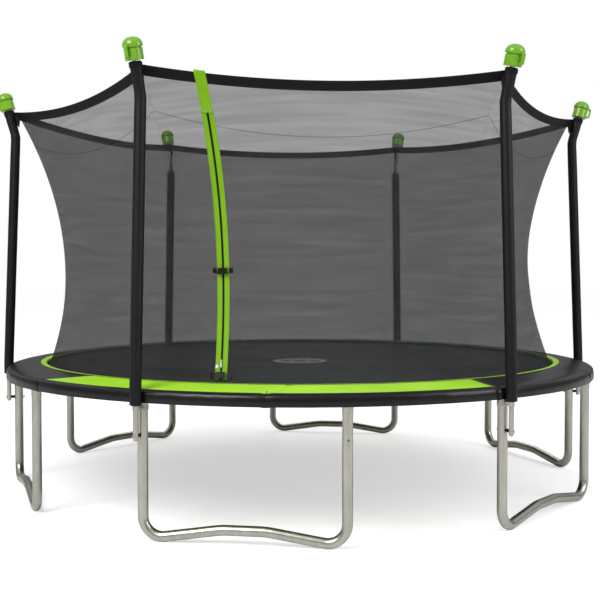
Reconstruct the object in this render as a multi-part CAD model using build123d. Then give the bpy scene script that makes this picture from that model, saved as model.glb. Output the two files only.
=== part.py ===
from build123d import *
import math
import os

# Backyard trampoline with a safety enclosure. Millimetres, +Z up.
# Origin: centre of the object on the ground. -Y is the door side.
# Azimuths are in degrees from -Y, positive towards +X. Poles stand at +-30, +-90 and +-150.

# ---- Driving dimensions ----
SIDES = 6                      # W-legs, poles and net panels
STEP_DEG = 360 / SIDES
RAIL_R = 1800.0                # centreline radius of the top rail and of the leg uprights
RAIL_Z = 708.0                 # centreline height of the top rail
RAIL_D = 42.0
RAIL_WALL = 2.0
LEG_D = 52.0
LEG_WALL = 2.0
LEG_SPAN_DEG = 32.6            # angle between the two uprights of one W-leg
POLE_AZ0 = -30.0               # azimuth of the first pole and of its upright
FIT_GAP = 0.2                  # radial clearance where one tube slides in another

BASE_BEND_R = 97.0             # corner bends of the W-leg, on the centreline
BASE_SLOPE_DEG = 8.5           # rise of the base tube towards its raised middle
BASE_HUMP_HALF = 110.0
BASE_HUMP_R = 420.0
BASE_JOINT_Z = 229.0           # top edge of the W-leg's upright ends
PLUG_LENGTH = 52.0             # depth of the uprights' reduced ends
SEAM_GAP = 0.5

SOCKET_D = 54.6
SOCKET_LOW_Z = 648.0
SOCKET_HIGH_Z = 702.0          # top of the collar, inside the sleeve
SOCKET_SLEEVE_D = 47.0
SOCKET_HALF_DEG = 1.75         # half of the sleeve's length along the rail
RAIL_END_DEG = 0.26            # a rail end stops this far short of the upright's azimuth, in the sleeve
SLOT_D = 8.4                   # hole in the rail for a spring's hook
SLOT_R = RAIL_R - RAIL_D / 2 + 3
MAT_R = 1612.0
MAT_Z = 743.5                  # underside of the mat
MAT_THICK = 3.0
HEM_WIDTH = 42.0
HEM_THICK = 2.0

SPRING_COUNT = 66
SPRING_D = 18.0
SPRING_WIRE_D = 3.2
SPRING_TAPER = 12.0
SPRING_RISE = 22.0             # spring's outer end above the rail's centreline
SPRING_IN_R = 1652.0           # inner end of the coils
SPRING_OUT_R = 1764.0          # outer end of the coils
RING_WIRE_D = 5.0
RING_IN_R = 1617.5             # bar of the triangular ring, just outside the hem
RING_TIP_R = 1645.0
RING_HALF_W = 21.0
HOOK_R = 1632.0                # inner hooks go down through the rings here
HOOK_LIFT = 7.0                # height of the inner hook over the ring's wire
HOOK_DROP = 14.0

PAD_IN_R = 1598.0
PAD_OUT_R = 1842.0
PAD_SKIRT_Z = 687.0
PAD_TOP = [(1598, 769), (1604, 773), (1660, 772), (1800, 754), (1829, 747), (1839, 736), (1842, 715)]
PAD_UNDER = [(1832, 722), (1826, 733), (1790, 745), (1668, 756.5), (1598, 757.5)]
PAD_SKIRT_THICK = 9.0
PAD_NOTCH_GAP = 1.5            # clearance round the foam sleeves
PAD_RING_R = 1638.0            # outer edge of the green ring
PAD_GREEN_R = 1808.0           # outer edge of the full-width green panels
PAD_GREEN_FROM = -54.0         # azimuths of the front green panel
PAD_GREEN_TO = 28.0
PAD_CUT_GAP = 0.5

POLE_D = 26.0
POLE_WALL = 1.5
POLE_R = 1861.0                # pole axis at the clamp
POLE_LOW_Z = 500.0
POLE_LEAN_Z = 760.0            # the pole leans inwards above this height
POLE_BEND_R = 1807.0           # axis radius at the upper bend
POLE_BEND_Z = 2179.0
POLE_TOP_R = 1873.0
POLE_TOP_Z = 2419.0
POLE_LEAN_BEND = 2500.0        # bend radii of the pole's axis
POLE_TOP_BEND = 160.0
POLE_SPLIT = 0.42              # share of the leaning run that the lower section takes
SPIGOT_LENGTH = 60.0

FOAM_D = 60.0
FOAM_BORE_GAP = 0.5
FOAM_BEND_SHARE = 0.6
FOAM_LOW_Z = 675.0
FOAM_TOP_S = 165.0             # foam's top, measured along the outward run from the upper bend
BARE_FOAM_TOP_Z = 2120.0       # the two rear sleeves end here
BARE_POLES = (3, 4)            # indices of the two rear poles

CAP_FOOT = FOAM_TOP_S + 4.0    # caps start here along the outward run
CAP_BARREL_R = 46.0
CAP_BARREL_H = 58.0
CAP_GROOVE_R = 40.0
CAP_GROOVE_H = 4.0
CAP_DOME_R = 50.0
CAP_DOME_H = 48.0
CAP_RIB_W = 16.0               # width of the outward hook
CAP_RIB_REACH = 68.0
CAP_RIB_THICK = 9.0
CAP_EDGE = 3.0                 # edge breaks of barrel and dome

CLAMP_Z = 662.0
CLAMP_H = 20.0
CLAMP_THICK = 2.0
LOW_BOLT_Z = 527.0
BOLT_D = 8.0
BOLT_HEAD_D = 14.0
BOLT_HEAD_H = 5.5
NUT_R = 7.5
NUT_H = 6.5
SPACER_D = 18.0
CLAMP_BOLT_HALF = 33.0

NET_THICK = 2.4
NET_LOW_Z = 750.0
NET_LOW_R = 1585.0
NET_TOP_CORNER_Z = 2332.0
NET_TOP_SAG = 58.0
NET_TOP_FLAT = 1559.0          # distance of the top edge from the axis, at its corners
NET_TOP_BOW = 40.0             # how far the middle of the top edge is pulled inwards
NET_WAIST = 150.0              # how far the net is pulled inwards half way up
NET_EDGE_S = 0.998             # panels end just short of the pole planes
BAND_H = 50.0
BAND_OUT = 3.2
BAND_THICK = 1.8

ZIP_LOW_T = 0.022              # zipper, as shares of the net's height
ZIP_TOP_T = 0.885
ZIP_LOW_AZ = -19.2
ZIP_TOP_AZ = -21.6
TAPE_W = 26.0
TAPE_THICK = 1.4
TAPE_OUT = 3.2
TAPE_GAP = 11.0
CHAIN_EDGE = 1.5               # gap between the teeth and each tape
SLIDER_OUT = TAPE_OUT + TAPE_THICK + 1.8
SLIDER_T = ZIP_LOW_T + 0.056   # where the closed slider stands
PULL_LIFT = 4.5

BUCKLE_MID_T = 0.372
BUCKLE_LOW_T = 0.033
BUCKLE_L = 58.0
BUCKLE_W = 32.0
BUCKLE_H = 11.0
BUCKLE_OUT = 21.0              # far enough out for the slider to pass behind
PLUG_IN = 24.0
STRAP_W = 26.0
STRAP_THICK = 1.8
STRAP_L = 21.0

CORNER_H = 25.0                # webbing loop round the pole, under the cap
CORNER_S = FOAM_TOP_S - 30.5   # its lower edge, along the outward run
CORNER_THICK = 1.8
CORNER_TONGUE_W = 22.0
CORNER_TONGUE = 18.0
CORNER_TONGUE_BARE = 34.0


# ---- Placing helpers ----
def turn(shape, azimuth):
    """Shape modelled at azimuth 0 (on the -Y side), turned to an azimuth."""
    return shape.rotate(Axis.Z, azimuth)


def pole_azimuth(index):
    return POLE_AZ0 + STEP_DEG * index


def keep(node, shapes):
    """Writes one node: a solid, or a group of separate solids."""
    solids = []
    for shape in shapes:
        solids.extend(shape.solids())
    export_step(solids[0] if len(solids) == 1 else Compound(children=solids), f"parts/{node}.step")


def round_tube(path, outer_d, inner_d):
    """Tube along a path, hollow when inner_d is given."""
    start = Plane(origin=path @ 0, z_dir=path % 0)
    ring = start * Circle(outer_d / 2)
    if inner_d:
        ring -= start * Circle(inner_d / 2)
    return sweep(ring, path=path)


def z_tube(outer_d, inner_d, low, high, x=0.0, y=0.0):
    """Upright tube or rod between two heights."""
    body = Pos(x, y, (low + high) / 2) * Cylinder(outer_d / 2, high - low)
    if inner_d:
        body -= Pos(x, y, (low + high) / 2) * Cylinder(inner_d / 2, high - low + 2)
    return body


def arc_tube(outer_d, inner_d, from_deg, to_deg, radius=RAIL_R, z=RAIL_Z):
    """Curved tube of the top rail between two azimuths."""
    section = Circle(outer_d / 2)
    if inner_d:
        section -= Circle(inner_d / 2)
    section = Plane(origin=(0, -radius, z), x_dir=(0, -1, 0), z_dir=(1, 0, 0)) * section
    tube = revolve(section, Axis.Z, to_deg - from_deg)
    return turn(tube, from_deg)


# ---- Legs and top rail ----
def base_path():
    """Centreline of a W-leg in the chord plane: upright, bend, slope, raised middle, and back."""
    half = RAIL_R * math.sin(math.radians(LEG_SPAN_DEG / 2))
    slope = math.radians(BASE_SLOPE_DEG)
    bend_centre_z = LEG_D / 2 + BASE_BEND_R
    corner_z = bend_centre_z - BASE_BEND_R * math.tan(slope) - BASE_BEND_R / math.cos(slope)
    hump_z = corner_z + (half - BASE_HUMP_HALF) * math.tan(slope)
    chord_y = -RAIL_R * math.cos(math.radians(LEG_SPAN_DEG / 2))
    points = [
        (-half, chord_y, BASE_JOINT_Z),
        (-half, chord_y, corner_z),
        (-BASE_HUMP_HALF, chord_y, hump_z),
        (BASE_HUMP_HALF, chord_y, hump_z),
        (half, chord_y, corner_z),
        (half, chord_y, BASE_JOINT_Z),
    ]
    radii = [BASE_BEND_R, BASE_HUMP_R, BASE_HUMP_R, BASE_BEND_R]
    return FilletPolyline(*points, radius=radii)


def w_leg():
    """Bent base tube, modelled with its middle at azimuth 0."""
    path = base_path()
    tube = round_tube(path, LEG_D, LEG_D - 2 * LEG_WALL)
    crimp_z = BASE_JOINT_Z - PLUG_LENGTH
    for end in (path @ 0, path @ 1):
        groove = z_tube(LEG_D + 4, LEG_D - 0.8, crimp_z - 1.2, crimp_z + 1.2, end.X, end.Y)
        tube -= groove
    return tube


def leg_tube():
    """Upright with a reduced lower end, on the axis of azimuth 0."""
    low = BASE_JOINT_Z + SEAM_GAP
    high = RAIL_Z - SOCKET_SLEEVE_D / 2 - 1
    inner = LEG_D - 2 * LEG_WALL
    plug_d = inner - 2 * FIT_GAP
    plug_low = BASE_JOINT_Z - PLUG_LENGTH + 2
    body = z_tube(LEG_D, plug_d - 2 * LEG_WALL, low, high, 0, -RAIL_R)
    body += z_tube(plug_d, plug_d - 2 * LEG_WALL, plug_low, low + 6, 0, -RAIL_R)
    body -= radial_hole(BOLT_D + 1, LOW_BOLT_Z)
    return body


def radial_hole(diameter, z, length=90.0):
    """Cutter along the radius through the upright at azimuth 0."""
    return Pos(0, -RAIL_R, z) * Rot(90, 0, 0) * Cylinder(diameter / 2, length)


def t_socket():
    """Sleeve on the rail with a collar for the upright, at azimuth 0."""
    body = z_tube(SOCKET_D, 0, SOCKET_LOW_Z, SOCKET_HIGH_Z, 0, -RAIL_R)
    body += arc_tube(SOCKET_SLEEVE_D, 0, -SOCKET_HALF_DEG, SOCKET_HALF_DEG)
    body -= arc_tube(RAIL_D + 2 * FIT_GAP, 0, -SOCKET_HALF_DEG - 1, SOCKET_HALF_DEG + 1)
    body -= z_tube(LEG_D + 2 * FIT_GAP, 0, SOCKET_LOW_Z - 2, RAIL_Z - SOCKET_SLEEVE_D / 2 - 0.5, 0, -RAIL_R)
    return body


def spring_azimuths():
    """Springs are evenly spaced and miss the T-sockets."""
    pitch = 360 / SPRING_COUNT
    return [POLE_AZ0 + pitch * (index + 0.5) for index in range(SPRING_COUNT)]


def rail_pair(index):
    """The two rail tubes of one sixth: over the W-leg, and on to the next pole."""
    first = pole_azimuth(index)
    spans = [
        (first + RAIL_END_DEG, first + LEG_SPAN_DEG - RAIL_END_DEG),
        (first + LEG_SPAN_DEG + RAIL_END_DEG, first + STEP_DEG - RAIL_END_DEG),
    ]
    tubes = [arc_tube(RAIL_D, RAIL_D - 2 * RAIL_WALL, low, high) for low, high in spans]
    slots = []
    for azimuth in spring_azimuths():
        wrapped = azimuth
        while wrapped > first + STEP_DEG:
            wrapped -= 360
        if first < wrapped < first + STEP_DEG:
            slot = Pos(0, -SLOT_R, RAIL_Z + RAIL_D / 2) * Cylinder(SLOT_D / 2, RAIL_D)
            slots.append(turn(slot, azimuth))
    return [tube - slots for tube in tubes]


# ---- Mat, rings and springs ----
def jump_mat():
    return Pos(0, 0, MAT_Z + MAT_THICK / 2) * Cylinder(MAT_R, MAT_THICK)


def mat_hem():
    """Hem band, folded under the mat's edge."""
    z = MAT_Z - HEM_THICK / 2
    band = Pos(0, 0, z) * Cylinder(MAT_R, HEM_THICK)
    return band - Pos(0, 0, z) * Cylinder(MAT_R - HEM_WIDTH, HEM_THICK + 2)


def mat_ring():
    """Triangular wire ring at azimuth 0, its bar along the mat's edge."""
    z = MAT_Z + MAT_THICK / 2
    points = [(RING_HALF_W, -RING_IN_R, z), (0, -RING_TIP_R, z), (-RING_HALF_W, -RING_IN_R, z)]
    path = FilletPolyline(*points, radius=5.0, close=True)
    section = Plane(origin=path @ 0, z_dir=path % 0) * Circle(RING_WIRE_D / 2)
    return sweep(section, path=path)


def spring():
    """Extension spring at azimuth 0: a close-wound body and two bent hooks."""
    tip_z = MAT_Z + MAT_THICK / 2
    inner = Vector(0, -SPRING_IN_R, tip_z)
    outer = Vector(0, -SPRING_OUT_R, RAIL_Z + SPRING_RISE)
    along = (outer - inner).normalized()
    length = (outer - inner).length
    half = SPRING_D / 2
    neck = SPRING_WIRE_D / 2 + 1
    outline = [(0, 0), (neck, 0), (half, SPRING_TAPER), (half, length - SPRING_TAPER), (neck, length), (0, length)]
    frame = Plane(origin=inner, x_dir=(1, 0, 0), z_dir=Vector(1, 0, 0).cross(along))
    body = revolve(frame * Polygon(*outline, align=None), Axis(inner, along))
    over = Vector(0, -SPRING_IN_R + 4, tip_z + HOOK_LIFT)
    down = Vector(0, 0, HOOK_DROP)
    ring_hook = Vector(0, -HOOK_R, tip_z + HOOK_LIFT)
    rail_hook = Vector(0, -SLOT_R, RAIL_Z + SPRING_RISE + 2)
    inner_path = FilletPolyline(inner + along * 3, over, ring_hook, ring_hook - down, radius=[2.0, 3.0])
    outer_path = FilletPolyline(outer - along * 3, rail_hook, rail_hook - down, radius=3.4)
    return body + round_tube(inner_path, SPRING_WIRE_D, 0) + round_tube(outer_path, SPRING_WIRE_D, 0)


# ---- Pad ----
def pad_section():
    """Cross-section of the pad: sloping top, rounded skirt, open underneath at the rim."""
    skirt = [(PAD_OUT_R - 1, PAD_SKIRT_Z), (PAD_OUT_R - 1 - PAD_SKIRT_THICK, PAD_SKIRT_Z)]
    outline = PAD_TOP + skirt + PAD_UNDER
    return Plane.XZ * Polygon(*outline, align=None)


def pad_whole():
    body = revolve(pad_section(), Axis.Z, 360)
    for index in range(SIDES):
        notch = Pos(0, -POLE_R, RAIL_Z) * Cylinder(FOAM_D / 2 + PAD_NOTCH_GAP, 200)
        body -= turn(notch, pole_azimuth(index))
    return body


def ring_zone(inner, outer, from_deg=0.0, to_deg=360.0):
    """Tall ring sector used to divide the pad."""
    section = Plane.XZ * Pos((inner + outer) / 2, RAIL_Z) * Rectangle(outer - inner, 200)
    zone = revolve(section, Axis.Z, to_deg - from_deg)
    return turn(zone, from_deg - 90)


def pad_parts():
    whole = pad_whole()
    black = whole - ring_zone(PAD_IN_R - 20, PAD_RING_R + PAD_CUT_GAP)
    green = whole & ring_zone(PAD_IN_R - 20, PAD_RING_R)
    edge_deg = math.degrees(PAD_CUT_GAP / PAD_GREEN_R)
    for turned in (0, 180):
        low = PAD_GREEN_FROM + turned
        high = PAD_GREEN_TO + turned
        black -= ring_zone(PAD_RING_R - 1, PAD_GREEN_R + PAD_CUT_GAP, low - edge_deg, high + edge_deg)
        green += whole & ring_zone(PAD_RING_R - 1, PAD_GREEN_R, low, high)
    return black, green


# ---- Poles ----
def pole_points():
    return [
        Vector(0, -POLE_R, POLE_LOW_Z),
        Vector(0, -POLE_R, POLE_LEAN_Z),
        Vector(0, -POLE_BEND_R, POLE_BEND_Z),
        Vector(0, -POLE_TOP_R, POLE_TOP_Z),
    ]


def lean_point(share):
    """Point on the leaning run, by its share of the way from the lean to the upper bend."""
    _, low, high, _ = pole_points()
    return low + (high - low) * share


def top_axis():
    """Direction of the pole's outward run."""
    _, _, bend, top = pole_points()
    return (top - bend).normalized()


def top_point(distance):
    """Point on the outward run, measured from the upper bend."""
    return pole_points()[2] + top_axis() * distance


def lower_pole():
    foot, lean, _, _ = pole_points()
    split = lean_point(POLE_SPLIT)
    path = FilletPolyline(foot + Vector(0, 0, POLE_D / 2), lean, split, radius=POLE_LEAN_BEND)
    body = round_tube(path, POLE_D, POLE_D - 2 * POLE_WALL)
    shell = Pos(*(foot + Vector(0, 0, POLE_D / 2))) * Sphere(POLE_D / 2)
    shell -= Pos(*(foot + Vector(0, 0, POLE_D / 2))) * Sphere(POLE_D / 2 - POLE_WALL)
    shell &= Pos(0, -POLE_R, POLE_LOW_Z) * Box(40, 40, POLE_D)
    body += shell
    body -= Pos(0, -POLE_R, LOW_BOLT_Z) * Rot(90, 0, 0) * Cylinder(BOLT_D / 2 + 0.3, 60)
    return body


def upper_pole():
    split = lean_point(POLE_SPLIT)
    lean_dir = (lean_point(1) - lean_point(0)).normalized()
    bend = lean_point(1)
    top = pole_points()[3]
    path = FilletPolyline(split + lean_dir * SEAM_GAP, bend, top, radius=POLE_TOP_BEND)
    body = round_tube(path, POLE_D, POLE_D - 2 * POLE_WALL)
    spigot_d = POLE_D - 2 * POLE_WALL - 2 * FIT_GAP
    spigot_path = Line(split - lean_dir * SPIGOT_LENGTH, split + lean_dir * 8)
    plug = round_tube(spigot_path, spigot_d, spigot_d - 2 * POLE_WALL)
    collar = round_tube(Line(split + lean_dir * SEAM_GAP, split + lean_dir * 8), POLE_D - 1, spigot_d - 2 * POLE_WALL)
    return body + collar + plug


def foam_sleeve(bare_top):
    _, lean, bend, _ = pole_points()
    foot = Vector(0, -POLE_R, FOAM_LOW_Z)
    if bare_top:
        end = lean_point((BARE_FOAM_TOP_Z - lean.Z) / (bend.Z - lean.Z))
        path = FilletPolyline(foot, lean, end, radius=POLE_LEAN_BEND * FOAM_BEND_SHARE)
    else:
        radii = [POLE_LEAN_BEND * FOAM_BEND_SHARE, POLE_TOP_BEND]
        path = FilletPolyline(foot, lean, bend, top_point(FOAM_TOP_S), radius=radii)
    return round_tube(path, FOAM_D, POLE_D + 2 * FOAM_BORE_GAP)


def top_plane(distance):
    """Plane across the outward run, its x direction along the tangent of the rail."""
    return Plane(origin=top_point(distance), x_dir=(1, 0, 0), z_dir=top_axis())


def pole_cap():
    """Helmet cap: barrel, groove for the strap, overhanging dome and an outward hook."""
    groove_z = CAP_BARREL_H
    dome_z = CAP_BARREL_H + CAP_GROOVE_H
    top_z = dome_z + CAP_DOME_H
    shoulder = (CAP_DOME_R, dome_z + CAP_EDGE + 2)
    with BuildSketch(Plane.XZ) as half:
        with BuildLine():
            Polyline(
                (0, 0), (CAP_BARREL_R - CAP_EDGE, 0), (CAP_BARREL_R, CAP_EDGE),
                (CAP_BARREL_R, groove_z - CAP_EDGE), (CAP_BARREL_R - CAP_EDGE, groove_z),
                (CAP_GROOVE_R, groove_z), (CAP_GROOVE_R, dome_z), (CAP_DOME_R - CAP_EDGE, dome_z), shoulder,
            )
            Spline(shoulder, (CAP_DOME_R * 0.72, top_z - 11), (0, top_z), tangents=[(0, 1), (-1, 0)])
            Line((0, top_z), (0, 0))
        make_face()
    body = revolve(half.sketch, Axis.Z, 360)
    low, high, inner = 12.0, dome_z + 14.0, CAP_RIB_REACH - CAP_RIB_THICK
    with BuildSketch(Plane.YZ) as hook:
        with BuildLine():
            Polyline((-40, low), (-CAP_RIB_REACH + 8, low), (-CAP_RIB_REACH, low + 8), (-CAP_RIB_REACH, high - 10))
            Line((-CAP_RIB_REACH, high - 10), (-CAP_RIB_REACH + 10, high))
            Polyline((-CAP_RIB_REACH + 10, high), (-40, high), (-40, high - CAP_RIB_THICK), (-inner, high - 12))
            Polyline((-inner, high - 12), (-inner, low + CAP_RIB_THICK), (-40, low + CAP_RIB_THICK), (-40, low))
        make_face()
    rib = extrude(hook.sketch, CAP_RIB_W / 2, both=True)
    body += rib
    run = (pole_points()[3] - top_point(CAP_FOOT)).length
    body -= Pos(0, 0, run / 2) * Cylinder(POLE_D / 2 + FIT_GAP, run + 4)
    return top_plane(CAP_FOOT).location * body


# ---- Pole fastening ----
def pole_clamp():
    """Flat steel band round the socket collar and the pole."""
    leg_hole = SOCKET_D / 2 + 0.3
    pole_hole = POLE_D / 2 + 0.3

    def outline(extra):
        big = Pos(0, -RAIL_R) * Circle(leg_hole + extra)
        small = Pos(0, -POLE_R) * Circle(pole_hole + extra)
        return make_hull(big.edges() + small.edges())

    band = extrude(outline(CLAMP_THICK), CLAMP_H) - extrude(outline(0), CLAMP_H)
    band = Pos(0, 0, CLAMP_Z - CLAMP_H / 2) * band
    band -= clamp_bolt_place() * Cylinder(BOLT_D / 2 + 0.4, 2 * CLAMP_BOLT_HALF + 20)
    return band


def clamp_bolt_place():
    """The clamp bolt runs along the tangent, between the collar and the pole."""
    return Pos(0, -(RAIL_R + SOCKET_D / 2 + POLE_R - POLE_D / 2) / 2, CLAMP_Z) * Rot(0, 90, 0)


def clamp_bolt():
    shank = Cylinder(BOLT_D / 2, 2 * CLAMP_BOLT_HALF)
    head = Pos(0, 0, CLAMP_BOLT_HALF + BOLT_HEAD_H / 2) * Cylinder(BOLT_HEAD_D / 2, BOLT_HEAD_H)
    return clamp_bolt_place() * (shank + head)


def hex_nut():
    nut = extrude(RegularPolygon(NUT_R, 6), NUT_H)
    return nut - Pos(0, 0, NUT_H / 2) * Cylinder(BOLT_D / 2 + 0.02, 3 * NUT_H)


def clamp_nut():
    return clamp_bolt_place() * Pos(0, 0, -CLAMP_BOLT_HALF + 1.5) * hex_nut()


def low_bolt():
    """Radial bolt through the pole's foot, the spacer and the upright."""
    tip = RAIL_R - LEG_D / 2 - 12
    head_r = POLE_R + POLE_D / 2 + 0.1
    shank = Pos(0, -(tip + head_r) / 2, LOW_BOLT_Z) * Rot(90, 0, 0) * Cylinder(BOLT_D / 2, head_r - tip)
    head = Pos(0, -head_r - BOLT_HEAD_H / 2, LOW_BOLT_Z) * Rot(90, 0, 0) * Cylinder(BOLT_HEAD_D / 2, BOLT_HEAD_H)
    return shank + head


def low_nut():
    seat = RAIL_R - LEG_D / 2 - 0.1
    return Pos(0, -seat, LOW_BOLT_Z) * Rot(-90, 0, 0) * hex_nut()


def low_spacer():
    inner = RAIL_R + LEG_D / 2
    outer = POLE_R - POLE_D / 2
    tube = Pos(0, -(inner + outer) / 2, LOW_BOLT_Z) * Rot(90, 0, 0) * Cylinder(SPACER_D / 2, outer - inner + 8)
    tube -= Pos(0, -(inner + outer) / 2, LOW_BOLT_Z) * Rot(90, 0, 0) * Cylinder(BOLT_D / 2 + 0.3, 60)
    tube -= z_tube(LEG_D + 0.4, 0, LOW_BOLT_Z - 30, LOW_BOLT_Z + 30, 0, -RAIL_R)
    tube -= z_tube(POLE_D + 0.4, 0, LOW_BOLT_Z - 30, LOW_BOLT_Z + 30, 0, -POLE_R)
    return tube


# ---- Enclosure net ----
def net_point(side, t, out=0.0):
    """Point of the front panel: side runs -1..1 between the poles, t runs 0..1 from the mat to the top."""
    edge = ((1 - t) * NET_LOW_R * math.cos(math.radians(30)) + t * NET_TOP_FLAT - 4 * NET_WAIST * t * (1 - t))
    half_width = edge * math.tan(math.radians(30))
    low_y = math.sqrt(NET_LOW_R**2 - (side * NET_LOW_R / 2) ** 2)
    top_y = NET_TOP_FLAT - NET_TOP_BOW * (1 - side**2)
    depth = (1 - t) * low_y + t * top_y - 4 * NET_WAIST * t * (1 - t)
    top_z = NET_TOP_CORNER_Z - NET_TOP_SAG * (1 - side**2)
    point = Vector(side * half_width, -depth, NET_LOW_Z + t * (top_z - NET_LOW_Z))
    if out:
        point += net_normal(side, t) * out
    return point


def net_normal(side, t):
    """Outward normal of the front panel."""
    step = 0.002
    across = net_point(side + step, t) - net_point(side - step, t)
    up = net_point(side, t + step) - net_point(side, t - step)
    return across.cross(up).normalized()


def net_patch(side_low, side_high, t_low, t_high, out, thick, across=9, up=9):
    """Curved strip that follows the panel. side_low and side_high may be functions of t."""
    grid = []
    for i in range(across):
        row = []
        for j in range(up):
            t = t_low + (t_high - t_low) * j / (up - 1)
            low = side_low(t) if callable(side_low) else side_low
            high = side_high(t) if callable(side_high) else side_high
            row.append(net_point(low + (high - low) * i / (across - 1), t, out))
        grid.append(row)
    return Solid.thicken(Face.make_surface_from_array_of_points(grid), thick)


def net_panel():
    return net_patch(-NET_EDGE_S, NET_EDGE_S, 0.0, 1.0, -NET_THICK / 2, NET_THICK)


def net_band():
    height = NET_TOP_CORNER_Z - NET_LOW_Z
    return net_patch(-NET_EDGE_S, NET_EDGE_S, 1 - BAND_H / height, 1.0, BAND_OUT, BAND_THICK, up=3)


def side_at(t, azimuth):
    """Side coordinate of the point at an azimuth, at one height."""
    low, high = -1.0, 1.0
    for _ in range(40):
        middle = (low + high) / 2
        point = net_point(middle, t)
        if math.degrees(math.atan2(point.X, -point.Y)) < azimuth:
            low = middle
        else:
            high = middle
    return (low + high) / 2


def zip_side(t):
    """Side coordinate of the zipper's line."""
    share = (t - ZIP_LOW_T) / (ZIP_TOP_T - ZIP_LOW_T)
    return side_at(t, ZIP_LOW_AZ + (ZIP_TOP_AZ - ZIP_LOW_AZ) * share)


def side_step(t, millimetres):
    """Distance along the panel as a change of the side coordinate."""
    here = net_point(zip_side(t), t)
    there = net_point(zip_side(t) + 0.01, t)
    return millimetres * 0.01 / (there - here).length


def zip_tape(near, far):
    return net_patch(
        lambda t: zip_side(t) + side_step(t, near), lambda t: zip_side(t) + side_step(t, far),
        ZIP_LOW_T, ZIP_TOP_T, TAPE_OUT, TAPE_THICK, across=4, up=13,
    )


def zip_plane(t, out):
    """Frame on the zipper's line: z outwards, y up along the zipper."""
    side = zip_side(t)
    up = (net_point(zip_side(t + 0.002), t + 0.002) - net_point(zip_side(t - 0.002), t - 0.002)).normalized()
    normal = net_normal(side, t)
    return Plane(origin=net_point(side, t, out), x_dir=up.cross(normal), z_dir=normal)


# ---- Door hardware ----
def zip_slider():
    """Slider body with its bridge, ready to be placed with y up the zipper."""
    body = extrude(Pos(0, 0) * SlotOverall(20, 9.5, rotation=90), 4.0)
    bridge = Pos(0, 0, 4.0) * (Box(3, 13, 4, align=(Align.CENTER, Align.CENTER, Align.MIN)))
    bridge -= Pos(0, 0, 4.0) * Box(4, 9, 2.4, align=(Align.CENTER, Align.CENTER, Align.MIN))
    return body + bridge


def zip_pull():
    """Pull tab with an eye round the slider's bridge, hanging down."""
    tab = extrude(Pos(0, -15.35) * RectangleRounded(8, 32, 3), 1.2)
    tab -= Pos(0, -4.1, 0) * Box(3.8, 6.9, 6)
    return tab


def buckle_socket():
    """Female half, x along the strap, opening towards +x."""
    shell = extrude(RectangleRounded(BUCKLE_L * 0.6, BUCKLE_W, 5), BUCKLE_H / 2, both=True)
    shell -= Pos(3, 0, 0) * Box(BUCKLE_L * 0.6, BUCKLE_W - 7, BUCKLE_H - 4)
    for side in (-1, 1):
        shell -= Pos(2, side * BUCKLE_W / 2, 0) * Box(16, 9, BUCKLE_H - 4)
    bar = Pos(-BUCKLE_L * 0.6 / 2 - 5, 0, 0) * Box(12, BUCKLE_W - 4, 4)
    bar -= Pos(-BUCKLE_L * 0.6 / 2 - 4, 0, 0) * Box(4, BUCKLE_W - 11, 6)
    return Pos(-6, 0, 0) * (shell + bar)


def buckle_plug():
    """Male half: base, middle tongue and two prongs, reaching into the socket."""
    base = Pos(BUCKLE_L * 0.3 + 3, 0, 0) * Box(14, BUCKLE_W, 6)
    tongue = Pos(5, 0, 0) * Box(PLUG_IN + 2, 4, 4)
    body = base + tongue
    for side in (-1, 1):
        prong = Pos(4, side * 8.5, 0) * Box(PLUG_IN + 4, 3.4, 4)
        tip = Pos(-7, side * 9.2, 0) * Box(7, 4.6, 4)
        body += prong + tip
    slot = Pos(BUCKLE_L * 0.3 + 6, 0, 0) * Box(3.5, BUCKLE_W - 7, 8)
    return body - slot


def door_strap(direction):
    """Short webbing tail of one buckle half, behind its strap bar."""
    start = BUCKLE_L * 0.55 + 1
    return Pos(direction * (start + STRAP_L / 2), 0, -3) * Box(STRAP_L, STRAP_W, STRAP_THICK)


# ---- Corner straps ----
def corner_strap(bare_top):
    """Webbing loop round the pole under the cap, with a tongue to the net's corner."""
    hole = POLE_D / 2 + 0.6 if bare_top else FOAM_D / 2 + 0.5
    reach = CORNER_TONGUE_BARE if bare_top else CORNER_TONGUE
    loop = extrude(Circle(hole + CORNER_THICK) - Circle(hole), CORNER_H)
    tongue = Box(CORNER_TONGUE_W, reach, CORNER_THICK, align=(Align.CENTER, Align.MIN, Align.CENTER))
    tongue = Pos(0, hole + CORNER_THICK / 2, CORNER_H / 2) * tongue
    return top_plane(CORNER_S).location * (loop + tongue)


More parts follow.
